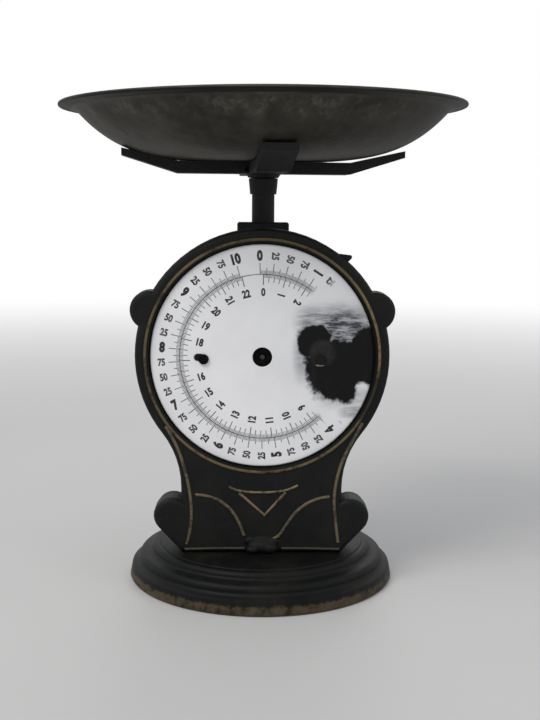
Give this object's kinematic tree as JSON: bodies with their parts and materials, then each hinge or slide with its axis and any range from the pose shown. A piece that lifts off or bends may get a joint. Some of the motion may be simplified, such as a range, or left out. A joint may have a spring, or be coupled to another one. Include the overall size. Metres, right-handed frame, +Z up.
{
  "type": "dial spring balance",
  "caption": "Antique dial spring balance: cast-iron keyhole body with a round enamelled dial on a stepped foot, and a sprung post with a cross that carries a loose sheet-metal pan.",
  "frame": {"origin": "on the supporting surface, on the axis of the post and the foot, at the centre of the bounding box's base", "axes": "+Z up along the post, -Y out of the dial's face, +X to the right seen from the front"},
  "size_m": [0.277, 0.277, 0.3298],
  "materials": {
    "housing_iron": "old black japan over cast iron, worn brown at the edges",
    "foot_iron": "old black japan over cast iron, rubbed to brown on the rim",
    "dark_iron": "blackened iron, lightly rusted",
    "pan_sheet": "dark patinated sheet steel, patchy",
    "dial_enamel": "white vitreous enamel on sheet steel, printed black",
    "screw_steel": "blued steel gone brown",
    "spring_steel": "oiled spring steel",
    "gear_steel": "cut steel, dull",
    "brass": "tarnished brass"
  },
  "bodies": {
    "stand": {"foot": "foot_iron", "foot_screw_1": "screw_steel", "foot_screw_2": "screw_steel", "foot_screw_3": "screw_steel", "foot_screw_4": "screw_steel", "housing_front": "housing_iron", "housing_rear": "housing_iron", "housing_screw_1": "screw_steel", "housing_screw_2": "screw_steel", "housing_screw_3": "screw_steel", "housing_screw_4": "screw_steel", "bezel_catch": "dark_iron", "dial": "dial_enamel", "dial_screw_1": "screw_steel", "dial_screw_2": "screw_steel", "arbor_bush_1": "brass", "arbor_bush_2": "brass", "bearing_bridge": "brass", "bridge_pillar_1": "brass", "bridge_pillar_2": "brass", "bridge_screw_1": "screw_steel", "bridge_screw_2": "screw_steel", "guide_block": "dark_iron", "guide_screw_1": "screw_steel", "guide_screw_2": "screw_steel", "spring_hanger": "dark_iron", "hanger_screw_1": "screw_steel", "hanger_screw_2": "screw_steel", "spring_left": "spring_steel", "spring_right": "spring_steel", "lower_guide": "dark_iron", "lower_guide_screw_1": "screw_steel", "lower_guide_screw_2": "screw_steel"},
    "carriage": {"post": "dark_iron", "support_pin": "screw_steel", "pan_support": "dark_iron", "crosshead": "dark_iron", "crosshead_nut": "screw_steel", "rack_bracket": "dark_iron", "rack": "gear_steel", "rack_screw_1": "screw_steel", "rack_screw_2": "screw_steel"},
    "arbor": {"pointer_arbor": "gear_steel"},
    "pan": {"pan": "pan_sheet"}
  },
  "joints": [
    {"name": "weighing_travel", "type": "slide", "parent": "stand", "child": "carriage", "axis": [0, 0, -1], "range_m": [0, 0.0181], "stiffness_N_per_m": 5420, "springref_m": -0.0028, "deforming": ["spring_left", "spring_right"]},
    {"name": "pointer_turn", "type": "hinge", "parent": "stand", "child": "arbor", "pos_m": [0, 0, 0.161], "axis": [0, 1, 0], "range_deg": [0, 346]},
    {"name": "pan_lift", "type": "slide", "parent": "carriage", "child": "pan", "axis": [0, 0, 1], "range_m": [0, 0.08]}
  ],
  "couplings": [
    {"joint": "pointer_turn", "follows": "weighing_travel", "rad_per_m": 333.33}
  ]
}
